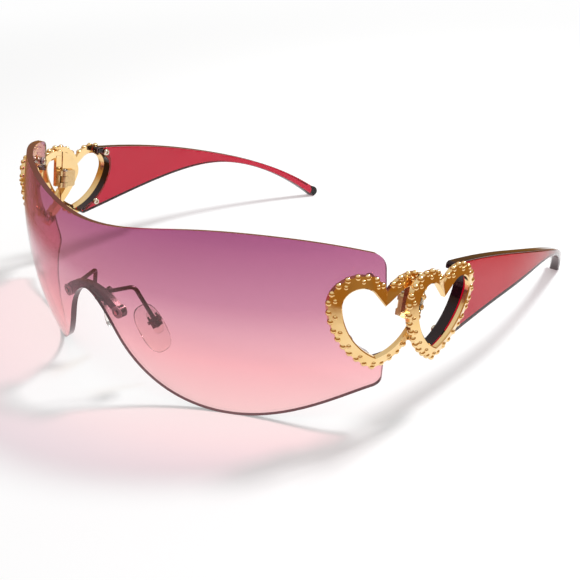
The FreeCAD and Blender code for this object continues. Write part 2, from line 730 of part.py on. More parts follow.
def bridge_spot(angle):
    """Point of the arch in front view, at an angle from straight up towards +X."""
    return BRIDGE_CENTRE + polar(BRIDGE_RADIUS, 90 - angle)


def bridge_axis():
    """Point on the lens's outer face and outward direction of the bridge screw."""
    spot = bridge_spot(BRIDGE_HALF_ANGLE)
    rise = spot.z - LENS_CENTRE.z
    depth = math.sqrt(LENS_INNER_RADIUS ** 2 - spot.x ** 2 - rise ** 2)
    outward = V(spot.x, -depth, rise).normalize()
    return LENS_CENTRE + outward * LENS_RADIUS, outward


def bridge_hole():
    """Blind hole from behind for the bridge screw."""
    base, outward = bridge_axis()
    start = base - outward * (LENS_THICKNESS + BRIDGE_GAP)
    return cylinder(start, outward, SCREW_DIAMETER + 2 * SCREW_FIT, BRIDGE_GAP + BRIDGE_BITE + SCREW_END)


def make_bridge_bar():
    """Arch that follows the inner face of the lens round the nose, with an eye at each end."""
    depth = LENS_RADIUS / 4
    strip = Part.makeCylinder(BRIDGE_RADIUS + BRIDGE_WIDTH / 2, depth, BRIDGE_CENTRE, AXIS_Y)
    strip = strip.cut(Part.makeCylinder(BRIDGE_RADIUS - BRIDGE_WIDTH / 2, depth, BRIDGE_CENTRE, AXIS_Y))
    low = bridge_spot(BRIDGE_HALF_ANGLE).z
    size = 4 * BRIDGE_RADIUS
    strip = strip.common(Part.makeBox(size, depth, size, V(-size / 2, 0, low)))
    for angle in (-BRIDGE_HALF_ANGLE, BRIDGE_HALF_ANGLE):
        strip = strip.fuse(Part.makeCylinder(BRIDGE_EYE / 2, depth, bridge_spot(angle), AXIS_Y))
    bar = strip.common(sphere(BRIDGE_OUTER)).cut(sphere(BRIDGE_INNER))
    base, outward = bridge_axis()
    reach = 4 * LENS_THICKNESS
    hole = cylinder(base - outward * reach, outward, SCREW_DIAMETER + 2 * SCREW_FIT, reach + LENS_THICKNESS)
    return solid_of(bar.cut(hole).cut(hole.mirror(ORIGIN, AXIS_X)))


def make_bridge_screws():
    """Screws from behind through the bridge into the lens, with a gasket between the two."""
    base, outward = bridge_axis()
    seat = head_seat(BRIDGE_INNER, BRIDGE_SCREW_HEAD)
    length = LENS_INNER_RADIUS + BRIDGE_BITE - seat
    screw = pan_screw(length, SCREW_DIAMETER, BRIDGE_SCREW_HEAD, SCREW_HEAD_HEIGHT)
    screw = recessed(screw, SCREW_HEAD_HEIGHT, SCREW_RECESS, SCREW_RECESS_DEPTH)
    screw = along_z(screw, outward, LENS_CENTRE + outward * seat)
    bore = SCREW_DIAMETER + 2 * SCREW_FIT
    gasket = lens_ring(BRIDGE_EYE, bore, BRIDGE_OUTER, LENS_INNER_RADIUS, base, outward)
    return [Part.makeCompound([piece, piece.mirror(ORIGIN, AXIS_X)]) for piece in (screw, gasket)]


# Nose pads: each has its own axes, down its length, across to the back and in towards the nose
PAD_L = V(PAD_DOWN).normalize()
PAD_W = (PAD_BACK - PAD_L * PAD_BACK.dot(PAD_L)).normalize()
PAD_N = PAD_L.cross(PAD_W).normalize() * -1
PAD_ROTATION = FreeCAD.Rotation(PAD_L, PAD_W, PAD_N * -1, "XYZ")


def pad_place(shape):
    """Move a shape drawn with X down the pad, Y to the back and -Z towards the nose."""
    placed = shape.copy()
    placed.Placement = FreeCAD.Placement(PAD_PIN, PAD_ROTATION).multiply(placed.Placement)
    return placed


def oval(length, width, thickness, top, drop, ahead):
    """Plate with round ends, its middle at drop along X and ahead along -Y, its upper face at top."""
    half = length / 2 - width / 2
    block = Part.makeBox(2 * half, width, thickness, V(drop - half, -width / 2 - ahead, top - thickness))
    for end in (-half, half):
        block = block.fuse(Part.makeCylinder(width / 2, thickness, V(drop + end, -ahead, top - thickness)))
    return block.removeSplitter()


BOX_INSIDE = LUG_WIDTH + 2 * BOX_GAP
BOX_OUTSIDE = BOX_INSIDE + 2 * BOX_WALL
BOX_ROOF = PAD_STANDOFF - BOX_GAP
BOX_BACK = LUG_HEIGHT / 2 + BOX_GAP + BOX_WALL


def make_pad_core():
    """Metal plate inside the pad with the lug that the screw goes through."""
    sink = (PAD_THICKNESS - CORE_THICKNESS) / 2
    core = oval(CORE_LENGTH, CORE_WIDTH, CORE_THICKNESS, -PAD_STANDOFF - sink, PAD_DROP / 2, 0)
    lug = Part.makeBox(LUG_HEIGHT, LUG_WIDTH, PAD_STANDOFF + sink + CORE_THICKNESS / 2,
                       V(-LUG_HEIGHT / 2, -LUG_WIDTH / 2, -PAD_STANDOFF - sink - CORE_THICKNESS / 2))
    crown = Part.makeCylinder(LUG_HEIGHT / 2, LUG_WIDTH, V(0, -LUG_WIDTH / 2, 0), AXIS_Y)
    bore = Part.makeCylinder(PAD_SCREW / 2 + HINGE_RUNNING, 2 * LUG_WIDTH, V(0, -LUG_WIDTH, 0), AXIS_Y)
    return solid_of(core.fuse(lug).fuse(crown).cut(bore))


def make_nose_pad():
    """Soft oval pad moulded round its core."""
    pad = oval(PAD_LENGTH, PAD_WIDTH, PAD_THICKNESS, -PAD_STANDOFF, PAD_DROP, PAD_AHEAD)
    rims = [edge for edge in pad.Edges if edge.BoundBox.ZLength < PAD_THICKNESS / 2]
    pad = pad.makeFillet(PAD_ROUND, rims)
    sink = (PAD_THICKNESS - CORE_THICKNESS) / 2
    pocket = oval(CORE_LENGTH + 2 * CORE_FIT, CORE_WIDTH + 2 * CORE_FIT, CORE_THICKNESS + 2 * CORE_FIT,
                  -PAD_STANDOFF - sink + CORE_FIT, PAD_DROP / 2, 0)
    throat = Part.makeBox(LUG_HEIGHT + 2 * CORE_FIT, LUG_WIDTH + 2 * CORE_FIT, sink + CORE_THICKNESS,
                          V(-LUG_HEIGHT / 2 - CORE_FIT, -LUG_WIDTH / 2 - CORE_FIT,
                            -PAD_STANDOFF - sink - CORE_THICKNESS / 2))
    return solid_of(pad.cut(pocket).cut(throat))


def box_block():
    return Part.makeBox(BOX_HEIGHT, BOX_OUTSIDE, BOX_BACK + BOX_ROOF,
                        V(-BOX_HEIGHT / 2, -BOX_OUTSIDE / 2, -BOX_ROOF))


def make_pad_box():
    """Open channel that holds the lug, with the screw bored across it."""
    box = box_block()
    channel = Part.makeBox(2 * BOX_HEIGHT, BOX_INSIDE, BOX_BACK - BOX_WALL + BOX_ROOF,
                           V(-BOX_HEIGHT, -BOX_INSIDE / 2, -BOX_ROOF))
    bore = Part.makeCylinder(PAD_SCREW / 2 + SCREW_FIT, 2 * BOX_OUTSIDE, V(0, -BOX_OUTSIDE, 0), AXIS_Y)
    return solid_of(box.cut(channel).cut(bore))


def make_pad_screw():
    screw = pan_screw(BOX_OUTSIDE + BOX_WALL, PAD_SCREW, PAD_SCREW_HEAD, PAD_SCREW_HEAD_HEIGHT)
    return along_z(screw, -AXIS_Y, V(0, BOX_OUTSIDE / 2, 0))


def make_pad_arm():
    """Bent wire from the back of the bridge to the back of the pad box, ground to meet both."""
    root = bridge_spot(ARM_ROOT_ANGLE) + AXIS_Z * ARM_ROOT_RISE
    depth = math.sqrt(BRIDGE_OUTER ** 2 - root.x ** 2 - (root.z - LENS_CENTRE.z) ** 2)
    start = V(root.x, LENS_CENTRE.y - depth, root.z)
    end = PAD_PIN + PAD_L * (BOX_HEIGHT / 2) - PAD_N * (BOX_BACK + ARM_WIRE * ARM_SEAT_SHARE)
    first = (ARM_KNEE - start).normalize()
    second = (end - ARM_KNEE).normalize()
    half = first.getAngle(second) / 2
    back_off = ARM_BEND * math.tan(half)
    bend_start = ARM_KNEE - first * back_off
    bend_end = ARM_KNEE + second * back_off
    inward = (second - first).normalize()
    bend_middle = ARM_KNEE + inward * (ARM_BEND / math.cos(half) - ARM_BEND)
    path = Part.Wire([Part.makeLine(start, bend_start), Part.Arc(bend_start, bend_middle, bend_end).toShape(),
                      Part.makeLine(bend_end, end)])
    section = Part.Wire(Part.makeCircle(ARM_WIRE / 2, start, first))
    wire = path.makePipeShell([section], True, False)
    return solid_of(wire.common(sphere(BRIDGE_INNER)).cut(pad_place(box_block())))


FRAME_SHIFT = V(0, -(REAR_TIP.y + TEMPLE_LENGTH) / 2, 0)


def export(name, shape):
    moved = shape.copy()
    moved.translate(FRAME_SHIFT)
    moved.exportStep(os.path.join("parts", name + ".step"))


def export_pair(name, shape):
    """The wearer's left piece and its mirror image on the right."""
    export(name + "_left", shape)
    export(name + "_right", shape.mirror(ORIGIN, AXIS_X))


os.makedirs("parts", exist_ok=True)
whole_heart = make_whole_front_heart()
lens_screws, lens_washers = make_lens_screws()
bridge_screws, bridge_gaskets = make_bridge_screws()
export("shield_lens", make_lens())
export("bridge_bar", make_bridge_bar())
export("bridge_screws", bridge_screws)
export("bridge_gaskets", bridge_gaskets)
export_pair("pad_arm", make_pad_arm())
export_pair("pad_box", pad_place(make_pad_box()))
export_pair("pad_screw", pad_place(make_pad_screw()))
export_pair("pad_core", pad_place(make_pad_core()))
export_pair("nose_pad", pad_place(make_nose_pad()))
export_pair("front_heart", make_front_heart(whole_heart))
export_pair("lens_screws", lens_screws)
export_pair("lens_washers", lens_washers)
export_pair("hinge_front_leaf", make_front_leaf())
export_pair("hinge_screw", make_hinge_screw())
export_pair("hinge_rear_leaf", make_rear_leaf())
export_pair("rear_heart", make_rear_heart(whole_heart))
export_pair("temple", make_temple())
export_pair("temple_screws", make_temple_screws())
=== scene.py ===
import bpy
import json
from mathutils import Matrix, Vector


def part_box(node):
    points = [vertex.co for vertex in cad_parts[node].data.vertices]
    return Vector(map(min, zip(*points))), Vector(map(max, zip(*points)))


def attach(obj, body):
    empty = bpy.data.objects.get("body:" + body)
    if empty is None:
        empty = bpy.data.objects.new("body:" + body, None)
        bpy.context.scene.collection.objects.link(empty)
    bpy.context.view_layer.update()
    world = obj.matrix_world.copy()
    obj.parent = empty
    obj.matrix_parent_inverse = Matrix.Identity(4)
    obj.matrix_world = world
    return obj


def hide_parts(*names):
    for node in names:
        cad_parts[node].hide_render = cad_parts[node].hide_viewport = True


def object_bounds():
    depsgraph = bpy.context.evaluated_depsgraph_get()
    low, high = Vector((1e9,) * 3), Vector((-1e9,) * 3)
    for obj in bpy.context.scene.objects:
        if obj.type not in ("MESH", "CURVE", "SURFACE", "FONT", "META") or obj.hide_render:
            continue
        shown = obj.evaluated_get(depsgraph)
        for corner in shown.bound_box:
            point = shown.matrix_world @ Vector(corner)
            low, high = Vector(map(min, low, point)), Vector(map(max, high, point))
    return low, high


bl_info = {
    "name": "Heart Hinge Sunglasses",
    "version": (1, 0, 0),
    "blender": (4, 5, 0),
    "location": "View3D > Sidebar > Sunglasses",
    "description": "Finishes for shield sunglasses with linked heart castings at the hinges",
    "category": "Object",
}

import json
import math
from collections import namedtuple

import bmesh
import bpy
from mathutils import Euler, Vector

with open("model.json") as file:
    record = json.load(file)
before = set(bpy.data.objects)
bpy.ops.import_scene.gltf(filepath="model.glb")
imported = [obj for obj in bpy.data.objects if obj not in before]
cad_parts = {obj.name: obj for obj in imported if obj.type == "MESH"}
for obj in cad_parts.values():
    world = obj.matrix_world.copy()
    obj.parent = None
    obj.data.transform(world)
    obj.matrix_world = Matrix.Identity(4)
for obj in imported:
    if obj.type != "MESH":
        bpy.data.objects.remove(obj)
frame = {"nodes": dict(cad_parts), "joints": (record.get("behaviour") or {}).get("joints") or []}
CAD_BOX = [list(corner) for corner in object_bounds()]
MM = 0.001
SIDES = ("left", "right")

# How strongly each clear plastic bends light
LENS_IOR = 1.52
ACETATE_IOR = 1.48
SILICONE_IOR = 1.41
INSERT_IOR = 1.45

# Smoothest and roughest polish of each finish
LENS_POLISH = (0.0, 0.03)
PLATE_POLISH = (0.06, 0.2)
ACETATE_POLISH = (0.03, 0.12)
SILICONE_POLISH = (0.05, 0.16)
INSERT_POLISH = (0.02, 0.06)
BOARD_POLISH = (0.55, 0.7)
NYLON_ROUGHNESS = 0.35

# Sizes of the patches in each finish
HAZE_SIZE = 15 * MM
DRIFT_SIZE = 6 * MM
PLATE_GRAIN = 2 * MM
WAVE_SIZE = 4 * MM
CLOUD_HEIGHT = 5 * MM
CLOUD_STRETCH = 4.0
TUMBLE_SIZE = 3 * MM
SILICONE_GRAIN = 0.8 * MM
INSERT_GRAIN = 0.5 * MM
MILK_SIZE = 1 * MM
TOOTH_SIZE = 1 * MM
PLAIN_DETAIL = 2.0
HAZE_DETAIL = 3.0
FINE_DETAIL = 4.0

# Waves that the casting leaves under the plate
WAVE_DEPTH = 0.25 * MM
WAVE_STRENGTH = 0.25

# Cosine between the ways that a sheet's skin and its broad faces look: the skin is all cut edge, which gets
# painted shade, below the first, and none above the second
EDGE_COSINES = (0.45, 0.85)
# Heights of the four tints, as shares of the lens's height
TINT_HEIGHTS = (0.0, 0.33, 0.66, 1.0)
# Falling light crosses two faces of the lens, and each takes the square root of the dye
FACE_POWER = 0.5
ACETATE_SHINE = 0.35
BOARD_SHINE = 0.15
NYLON_CLEARNESS = 0.4

# Way down a left pad, and fineness of the ball that the soft pads are formed from
PAD_DOWN = (0.30, 0.26, -0.92)
PAD_SUBDIVISIONS = 4

# Distances from the middle of the floor: it turns all white over the first, and the mirrored table begins
# over the second
WHITE_REACH = (200 * MM, 600 * MM)
TABLE_REACH = (110 * MM, 160 * MM)

# Tones from the horizon up: of the room that shiny faces mirror, and of the light that falls
ROOM_TONES = ((0.0, "#A67E48"), (0.36, "#C4985E"), (0.62, "#EDEAE6"), (1.0, "#FFFFFF"))
FILL_TONES = ((0.0, "#9C9C9C"), (0.5, "#EEEEEE"), (1.0, "#FFFFFF"))
GROUND_TONE = "#FFFFFF"

# Key lamp, where the photograph's shadows point back to
KEY_PLACE = (150 * MM, 360 * MM, 550 * MM)
KEY_SIZE = 120 * MM
# Camera, solved from points in the photograph, with its turns in degrees
CAMERA_PLACE = (191.146 * MM, -205.776 * MM, 136.23 * MM)
CAMERA_TURNS = (64.325, 0.292, 42.457)
SENSOR_WIDTH = 36.0
NEAREST_SEEN = 10 * MM

Metal = namedtuple("Metal", "name pale deep polish grain")
# Milled brass leaves keep a satin plate, duller than the polished castings
SATIN_GOLD = Metal("satin gold plate", "#F4E0B4", "#DDB97E", (0.4, 0.55), 0.6 * MM)
# Hinge screws with a fine lathe finish
TURNED_STEEL = Metal("turned steel", "#D8D2C6", "#A9A297", (0.15, 0.3), 0.4 * MM)
# Small screws with a bright nickel wash
BRIGHT_STEEL = Metal("nickel-washed screw steel", "#EFE6D6", "#C9BCA6", (0.12, 0.28), 0.4 * MM)
# Strip and drawn wire, tumbled to a soft gunmetal shine
NICKEL_SILVER = Metal("tumbled nickel silver", "#746C68", "#403A38", (0.18, 0.34), 0.7 * MM)
# Screws in the pad boxes
BLACK_STEEL = Metal("blackened screw steel", "#8E8884", "#5A5552", (0.2, 0.36), 0.3 * MM)


def linear(code):
    """Linear colour of an sRGB hex value."""
    shares = [int(code[place:place + 2], 16) / 255 for place in (1, 3, 5)]
    return [share / 12.92 if share <= 0.04045 else ((share + 0.055) / 1.055) ** 2.4 for share in shares]


def opaque(colour):
    """Colour with full cover, as node sockets take it."""
    return (*colour, 1.0)


def colour_setting(name, description, code):
    return bpy.props.FloatVectorProperty(name=name, description=description, subtype="COLOR", size=3,
                                         min=0.0, max=1.0, default=linear(code))


class LensSettings(bpy.types.PropertyGroup):
    """Tint of the one-piece lens."""
    low_tint: colour_setting("Low tint", "Tint at the lower edge", "#FFEAE6")
    waist_tint: colour_setting("Waist tint", "Tint a third of the way up", "#FCC6CA")
    middle_tint: colour_setting("Middle tint", "Tint two thirds of the way up", "#CB93AD")
    top_tint: colour_setting("Top tint", "Tint at the upper edge", "#A65E8C")
    painted_edge_shade: colour_setting("Painted edge shade", "Painted shade of the cut edges", "#5A2A34")
    edge_shade: colour_setting("Edge shade", "Light that the cut edges let fall", "#1E1412")
    inner_tint: colour_setting("Inner tint", "Colour that light keeps inside the sheet", "#F1AAB8")
    depth: bpy.props.FloatProperty(
        name="Depth of colour", description="Absorption for each metre of sheet", min=0.0, default=150.0)
    radius: bpy.props.FloatProperty(
        name="Radius", description="Radius of the lens's ball-shaped front", min=0.01, default=87 * MM,
        unit="LENGTH")
    centre_height: bpy.props.FloatProperty(
        name="Centre height", description="Height of the ball's centre", min=0.0, default=30 * MM,
        unit="LENGTH")


class GoldSettings(bpy.types.PropertyGroup):
    """Plating of the heart castings."""
    light_tone: colour_setting("Light tone", "Plating where it is thick and polished", "#FBE0AE")
    deep_tone: colour_setting("Deep tone", "Plating in its deeper patches", "#F0C57E")


class TempleSettings(bpy.types.PropertyGroup):
    """Acetate of the temples."""
    body_colour: colour_setting("Body colour", "Colour of the surface layer", "#F7D9DD")
    cloud_colour: colour_setting("Cloud colour", "Colour of the pigment clouds in it", "#E9B7BF")
    painted_thickness_shade: colour_setting("Painted thickness shade", "Painted shade along the cut edges", "#24080E")
    inner_colour: colour_setting("Inner colour", "Colour that light keeps inside the sheet", "#F44BB5")
    shade: colour_setting("Shade", "Light that the temples let fall", "#A8A8A8")
    depth: bpy.props.FloatProperty(
        name="Depth of colour", description="Absorption for each metre of acetate", min=0.0, default=1750.0)


class PadSettings(bpy.types.PropertyGroup):
    """Soft nose pads."""
    tone: colour_setting("Tone", "Colour of the clear silicone", "#F8F4F0")
    roundness: bpy.props.FloatProperty(
        name="Roundness", description="Exponent of the pad's outline, 2 is an ellipse", min=2.0, max=4.0,
        default=2.7)
    rim: bpy.props.FloatProperty(
        name="Rim", description="Exponent of the pad's section, 2 is an ellipse", min=2.0, max=4.0,
        default=2.6)
    crown: bpy.props.FloatProperty(
        name="Crown", description="Rise of the pad's middle towards the nose", min=0.0, default=0.35 * MM,
        unit="LENGTH")


class StageSettings(bpy.types.PropertyGroup):
    """Floor, light and camera."""
    floor_colour: colour_setting("Floor colour", "Colour of the floor", "#FEFEFE")
    table_colour: colour_setting("Table colour", "Colour of the table that shiny faces mirror", "#A47434")
    floor_white: bpy.props.FloatProperty(
        name="Floor white", description="Share of the near floor that stays plain white", min=0.0, max=1.0,
        default=0.3, subtype="FACTOR")
    floor_size: bpy.props.FloatProperty(
        name="Floor size", description="Side of the floor", min=0.5, default=6.0, unit="LENGTH")
    focal_length: bpy.props.FloatProperty(
        name="Focal length", description="Focal length in millimetres", min=10.0, default=60.089)
    sky_strength: bpy.props.FloatProperty(
        name="Sky strength", description="Strength of the even light", min=0.0, default=0.66)
    room_strength: bpy.props.FloatProperty(
        name="Room strength", description="Strength of the room in shiny faces", min=0.0, default=0.85)
    key_power: bpy.props.FloatProperty(
        name="Key power", description="Power of the soft key light", min=0.0, default=3.3, unit="POWER")


def settings():
    return bpy.context.scene.sunglasses


def add(tree, kind, inputs=None, **options):
    """Add a node, set its options and fill its inputs with values or with other nodes' outputs."""
    node = tree.nodes.new(kind)
    for name, value in options.items():
        setattr(node, name, value)
    for name, value in (inputs or {}).items():
        if isinstance(value, bpy.types.NodeSocket):
            tree.links.new(value, node.inputs[name])
        else:
            node.inputs[name].default_value = value
    return node


def new_material(name):
    """Material with an empty node tree, and the tree."""
    material = bpy.data.materials.new(name)
    material.use_nodes = True
    material.node_tree.nodes.clear()
    return material, material.node_tree


def reckon(tree, operation, *numbers, **options):
    """Outcome of a sum on numbers, given as values or as outputs."""
    inputs = dict(enumerate(numbers))
    return add(tree, "ShaderNodeMath", inputs, operation=operation, **options).outputs["Value"]


def noise(tree, place, size, detail=PLAIN_DETAIL):
    """Noise whose patches are about one size across, in metres."""
    inputs = {"Vector": place, "Scale": 1 / size, "Detail": detail}
    return add(tree, "ShaderNodeTexNoise", inputs).outputs["Fac"]


def between(tree, share, limits):
    """Value between two limits, by a share."""
    inputs = {"Value": share, "To Min": limits[0], "To Max": limits[1]}
    return add(tree, "ShaderNodeMapRange", inputs).outputs["Result"]


def fade(tree, distance, reach, start=0.0):
    """Smooth step from a start to 1 between two distances in metres."""
    inputs = {"Value": distance, "From Min": reach[0], "From Max": reach[1], "To Min": start}
    return add(tree, "ShaderNodeMapRange", inputs, interpolation_type="SMOOTHSTEP").outputs["Result"]


def mixed(tree, share, first, second):
    """Mix of two colours, given as values or as outputs."""
    inputs = {"Factor": share, "A": first, "B": second}
    return add(tree, "ShaderNodeMix", inputs, data_type="RGBA").outputs["Result"]


def blend(tree, share, first, second):
    """Mix of two shaders' outputs, by the share of the second."""
    return add(tree, "ShaderNodeMixShader", {0: share, 1: first, 2: second}).outputs["Shader"]


def set_stops(ramp, stops):
    """Give a colour ramp its stops, as places and linear colours."""
    elements = ramp.color_ramp.elements
    while len(elements) < len(stops):
        elements.new(1.0)
    for element, (place, colour) in zip(elements, stops):
        element.position = place
        element.color = opaque(colour)


def dress(names, material):
    """Give CAD nodes a finish."""
    for name in names:
        mesh = frame["nodes"][name].data
        mesh.materials.clear()
        mesh.materials.append(material)


def both(*names):
    """Names of the left and right nodes."""
    return [name + "_" + side for name in names for side in SIDES]


# A path tracer finds few lamps through glass, so light that falls on other pieces goes straight through.
def clear_output(tree, shader, shade, volume=None):
    """Join a clear plastic to the output, with a plain see-through shader for light that it lets fall."""
    path = add(tree, "ShaderNodeLightPath")
    through = add(tree, "ShaderNodeBsdfTransparent", {"Color": shade})
    falling = reckon(tree, "MAXIMUM", path.outputs["Is Shadow Ray"], path.outputs["Is Diffuse Ray"])
    links = {"Surface": blend(tree, falling, shader.outputs["BSDF"], through.outputs["BSDF"])}
    if volume:
        links["Volume"] = volume.outputs["Volume"]
    add(tree, "ShaderNodeOutputMaterial", links)


def cut_edge(tree, place, outward):
    """Share of a clear sheet's skin that is cut edge, from the way that its broad faces look; it masks the
    painted shade.
    """
    looks = {0: place.outputs["Normal"], 1: outward}
    facing = add(tree, "ShaderNodeVectorMath", looks, operation="DOT_PRODUCT")
    square = reckon(tree, "ABSOLUTE", facing.outputs["Value"])
    inputs = {"Value": square, "From Min": EDGE_COSINES[0], "From Max": EDGE_COSINES[1],
              "To Min": 1.0, "To Max": 0.0}
    return add(tree, "ShaderNodeMapRange", inputs).outputs["Result"]


def clear_share(tree, edge):
    """Share of the light that goes through: all on the faces, and none on a cut edge, which so shows its
    painted shade.
    """
    return reckon(tree, "SUBTRACT", 1.0, edge)


def tinted_polycarbonate():
    """Injection-moulded polycarbonate, dip-dyed from mauve at the top to blush at the bottom.

    The eye sees a glossy even gradient; the deep wine at a cut edge, where light has come along the sheet,
    is painted shade.
    """
    tint = settings().lens
    material, tree = new_material("tinted polycarbonate")
    low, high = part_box("shield_lens")
    place = add(tree, "ShaderNodeTexCoord")
    centre = Vector((0.0, low.y + tint.radius, tint.centre_height))
    spoke = add(tree, "ShaderNodeVectorMath", {0: place.outputs["Object"], 1: centre}, operation="SUBTRACT")
    outward = add(tree, "ShaderNodeVectorMath", {0: spoke.outputs["Vector"]}, operation="NORMALIZE")
    edge = cut_edge(tree, place, outward.outputs["Vector"])
    height = add(tree, "ShaderNodeSeparateXYZ", {"Vector": place.outputs["Object"]})
    rise = {"Value": height.outputs["Z"], "From Min": low.z, "From Max": high.z}
    share = add(tree, "ShaderNodeMapRange", rise)
    dye = add(tree, "ShaderNodeValToRGB", {"Fac": share.outputs["Result"]})
    tints = (tint.low_tint, tint.waist_tint, tint.middle_tint, tint.top_tint)
    set_stops(dye, tuple(zip(TINT_HEIGHTS, tints)))
    # Handling leaves a faint haze in patches
    haze = noise(tree, place.outputs["Object"], HAZE_SIZE, HAZE_DETAIL)
    shader = add(tree, "ShaderNodeBsdfPrincipled", {
        # Painted shade: cut edges get an opaque dark wine colour in place of light lost along the sheet
        "Base Color": mixed(tree, edge, dye.outputs["Color"], opaque(tint.painted_edge_shade)),
        "Roughness": between(tree, haze, LENS_POLISH),
        "IOR": LENS_IOR,
        "Transmission Weight": clear_share(tree, edge),
    })
    crossing = add(tree, "ShaderNodeGamma", {"Color": dye.outputs["Color"], "Gamma": FACE_POWER})
    shade = mixed(tree, edge, crossing.outputs["Color"], opaque(tint.edge_shade))
    inside = {"Color": opaque(tint.inner_tint), "Density": tint.depth}
    clear_output(tree, shader, shade, add(tree, "ShaderNodeVolumeAbsorption", inside))
    return material


def gold_plate():
    """Polished light-gold plate on a zinc casting.

    The eye sees bright cream faces, amber where the polish turns away, and slight waves left by the casting.
    """
    tone = settings().gold
    material, tree = new_material("polished light gold plate")
    place = add(tree, "ShaderNodeTexCoord").outputs["Object"]
    drift = noise(tree, place, DRIFT_SIZE)
    polish = noise(tree, place, PLATE_GRAIN, FINE_DETAIL)
    waves = {"Height": noise(tree, place, WAVE_SIZE), "Strength": WAVE_STRENGTH, "Distance": WAVE_DEPTH}
    shader = add(tree, "ShaderNodeBsdfPrincipled", {
        "Base Color": mixed(tree, drift, opaque(tone.light_tone), opaque(tone.deep_tone)),
        "Metallic": 1.0,
        "Roughness": between(tree, polish, PLATE_POLISH),
        "Normal": add(tree, "ShaderNodeBump", waves).outputs["Normal"],
    })
    add(tree, "ShaderNodeOutputMaterial", {"Surface": shader.outputs["BSDF"]})
    return material


def burgundy_acetate():
    """Cut and tumbled cellulose acetate, clear burgundy all through.

    The eye sees raspberry where light comes through the flat, and near black along the thickness, here
    painted shade.
    """
    choice = settings().temple
    material, tree = new_material("burgundy cellulose acetate")
    place = add(tree, "ShaderNodeTexCoord")
    # Pigment clouds run along the sheet
    along = {"Vector": place.outputs["Object"], "Scale": (1.0, 1 / CLOUD_STRETCH, 1.0)}
    stretch = add(tree, "ShaderNodeMapping", along)
    cloud = noise(tree, stretch.outputs["Vector"], CLOUD_HEIGHT)
    body = mixed(tree, cloud, opaque(choice.body_colour), opaque(choice.cloud_colour))
    edge = cut_edge(tree, place, Vector((1.0, 0.0, 0.0)))
    tumble = noise(tree, place.outputs["Object"], TUMBLE_SIZE)
    shader = add(tree, "ShaderNodeBsdfPrincipled", {
        # Painted shade: cut edges get an opaque near-black colour in place of light lost through the
        # thickness
        "Base Color": mixed(tree, edge, body, opaque(choice.painted_thickness_shade)),
        "Roughness": between(tree, tumble, ACETATE_POLISH),
        "IOR": ACETATE_IOR,
        "Specular IOR Level": ACETATE_SHINE,
        "Transmission Weight": clear_share(tree, edge),
    })
    inside = {"Color": opaque(choice.inner_colour), "Density": choice.depth}
    dye = add(tree, "ShaderNodeVolumeAbsorption", inside)
    clear_output(tree, shader, opaque(choice.shade), dye)
    return material


def clear_moulding(name, bending, polish, grain):
    """Clear moulded plastic whose skin varies over a grain size in metres.

    The eye sees little more than a thin rim.
    """
    tone = opaque(settings().pad.tone)
    material, tree = new_material(name)
    skin = noise(tree, add(tree, "ShaderNodeTexCoord").outputs["Object"], grain)
    shader = add(tree, "ShaderNodeBsdfPrincipled", {
        "Base Color": tone,
        "Roughness": between(tree, skin, polish),
        "IOR": bending,
        "Transmission Weight": 1.0,
    })
    clear_output(tree, shader, tone)
    return material


def worked_metal(metal):
    """Metal whose tone and polish vary together, patch by patch, as handwork and wear leave them."""
    material, tree = new_material(metal.name)
    place = add(tree, "ShaderNodeTexCoord").outputs["Object"]
    patch = noise(tree, place, metal.grain, FINE_DETAIL)
    shader = add(tree, "ShaderNodeBsdfPrincipled", {
        "Base Color": mixed(tree, patch, opaque(linear(metal.pale)), opaque(linear(metal.deep))),
        "Metallic": 1.0,
        "Roughness": between(tree, patch, metal.polish),
    })
    add(tree, "ShaderNodeOutputMaterial", {"Surface": shader.outputs["BSDF"]})
    return material


def clear_nylon():
    """Stamped clear nylon washers: milky and softly glossy to the eye."""
    material, tree = new_material("clear nylon")
    milk = noise(tree, add(tree, "ShaderNodeTexCoord").outputs["Object"], MILK_SIZE)
    shader = add(tree, "ShaderNodeBsdfPrincipled", {
        "Base Color": mixed(tree, milk, opaque(linear("#F2EDEA")), opaque(linear("#DDD3CF"))),
        "Roughness": NYLON_ROUGHNESS,
        "Transmission Weight": NYLON_CLEARNESS,
    })
    add(tree, "ShaderNodeOutputMaterial", {"Surface": shader.outputs["BSDF"]})
    return material


class SUNGLASSES_OT_lens(bpy.types.Operator):
    """Finish the one-piece lens"""
    bl_idname = "sunglasses.lens"
    bl_label = "Lens"

    def execute(self, context):
        dress(["shield_lens"], tinted_polycarbonate())
        return {"FINISHED"}


class SUNGLASSES_OT_hearts(bpy.types.Operator):
    """Finish the heart castings"""
    bl_idname = "sunglasses.hearts"
    bl_label = "Hearts"

    def execute(self, context):
        dress(both("front_heart", "rear_heart"), gold_plate())
        return {"FINISHED"}


class SUNGLASSES_OT_hinges(bpy.types.Operator):
    """Finish the hinge leaves and their screws"""
    bl_idname = "sunglasses.hinges"
    bl_label = "Hinges"

    def execute(self, context):
        dress(both("hinge_front_leaf", "hinge_rear_leaf"), worked_metal(SATIN_GOLD))
        dress(both("hinge_screw"), worked_metal(TURNED_STEEL))
        return {"FINISHED"}


class SUNGLASSES_OT_temples(bpy.types.Operator):
    """Finish the temples"""
    bl_idname = "sunglasses.temples"
    bl_label = "Temples"

    def execute(self, context):
        dress(both("temple"), burgundy_acetate())
        return {"FINISHED"}


class SUNGLASSES_OT_fasteners(bpy.types.Operator):
    """Finish the screws, washers and gaskets"""
    bl_idname = "sunglasses.fasteners"
    bl_label = "Screws and washers"

    def execute(self, context):
        dress(both("lens_screws", "temple_screws") + ["bridge_screws"], worked_metal(BRIGHT_STEEL))
        dress(both("lens_washers") + ["bridge_gaskets"], clear_nylon())
        return {"FINISHED"}


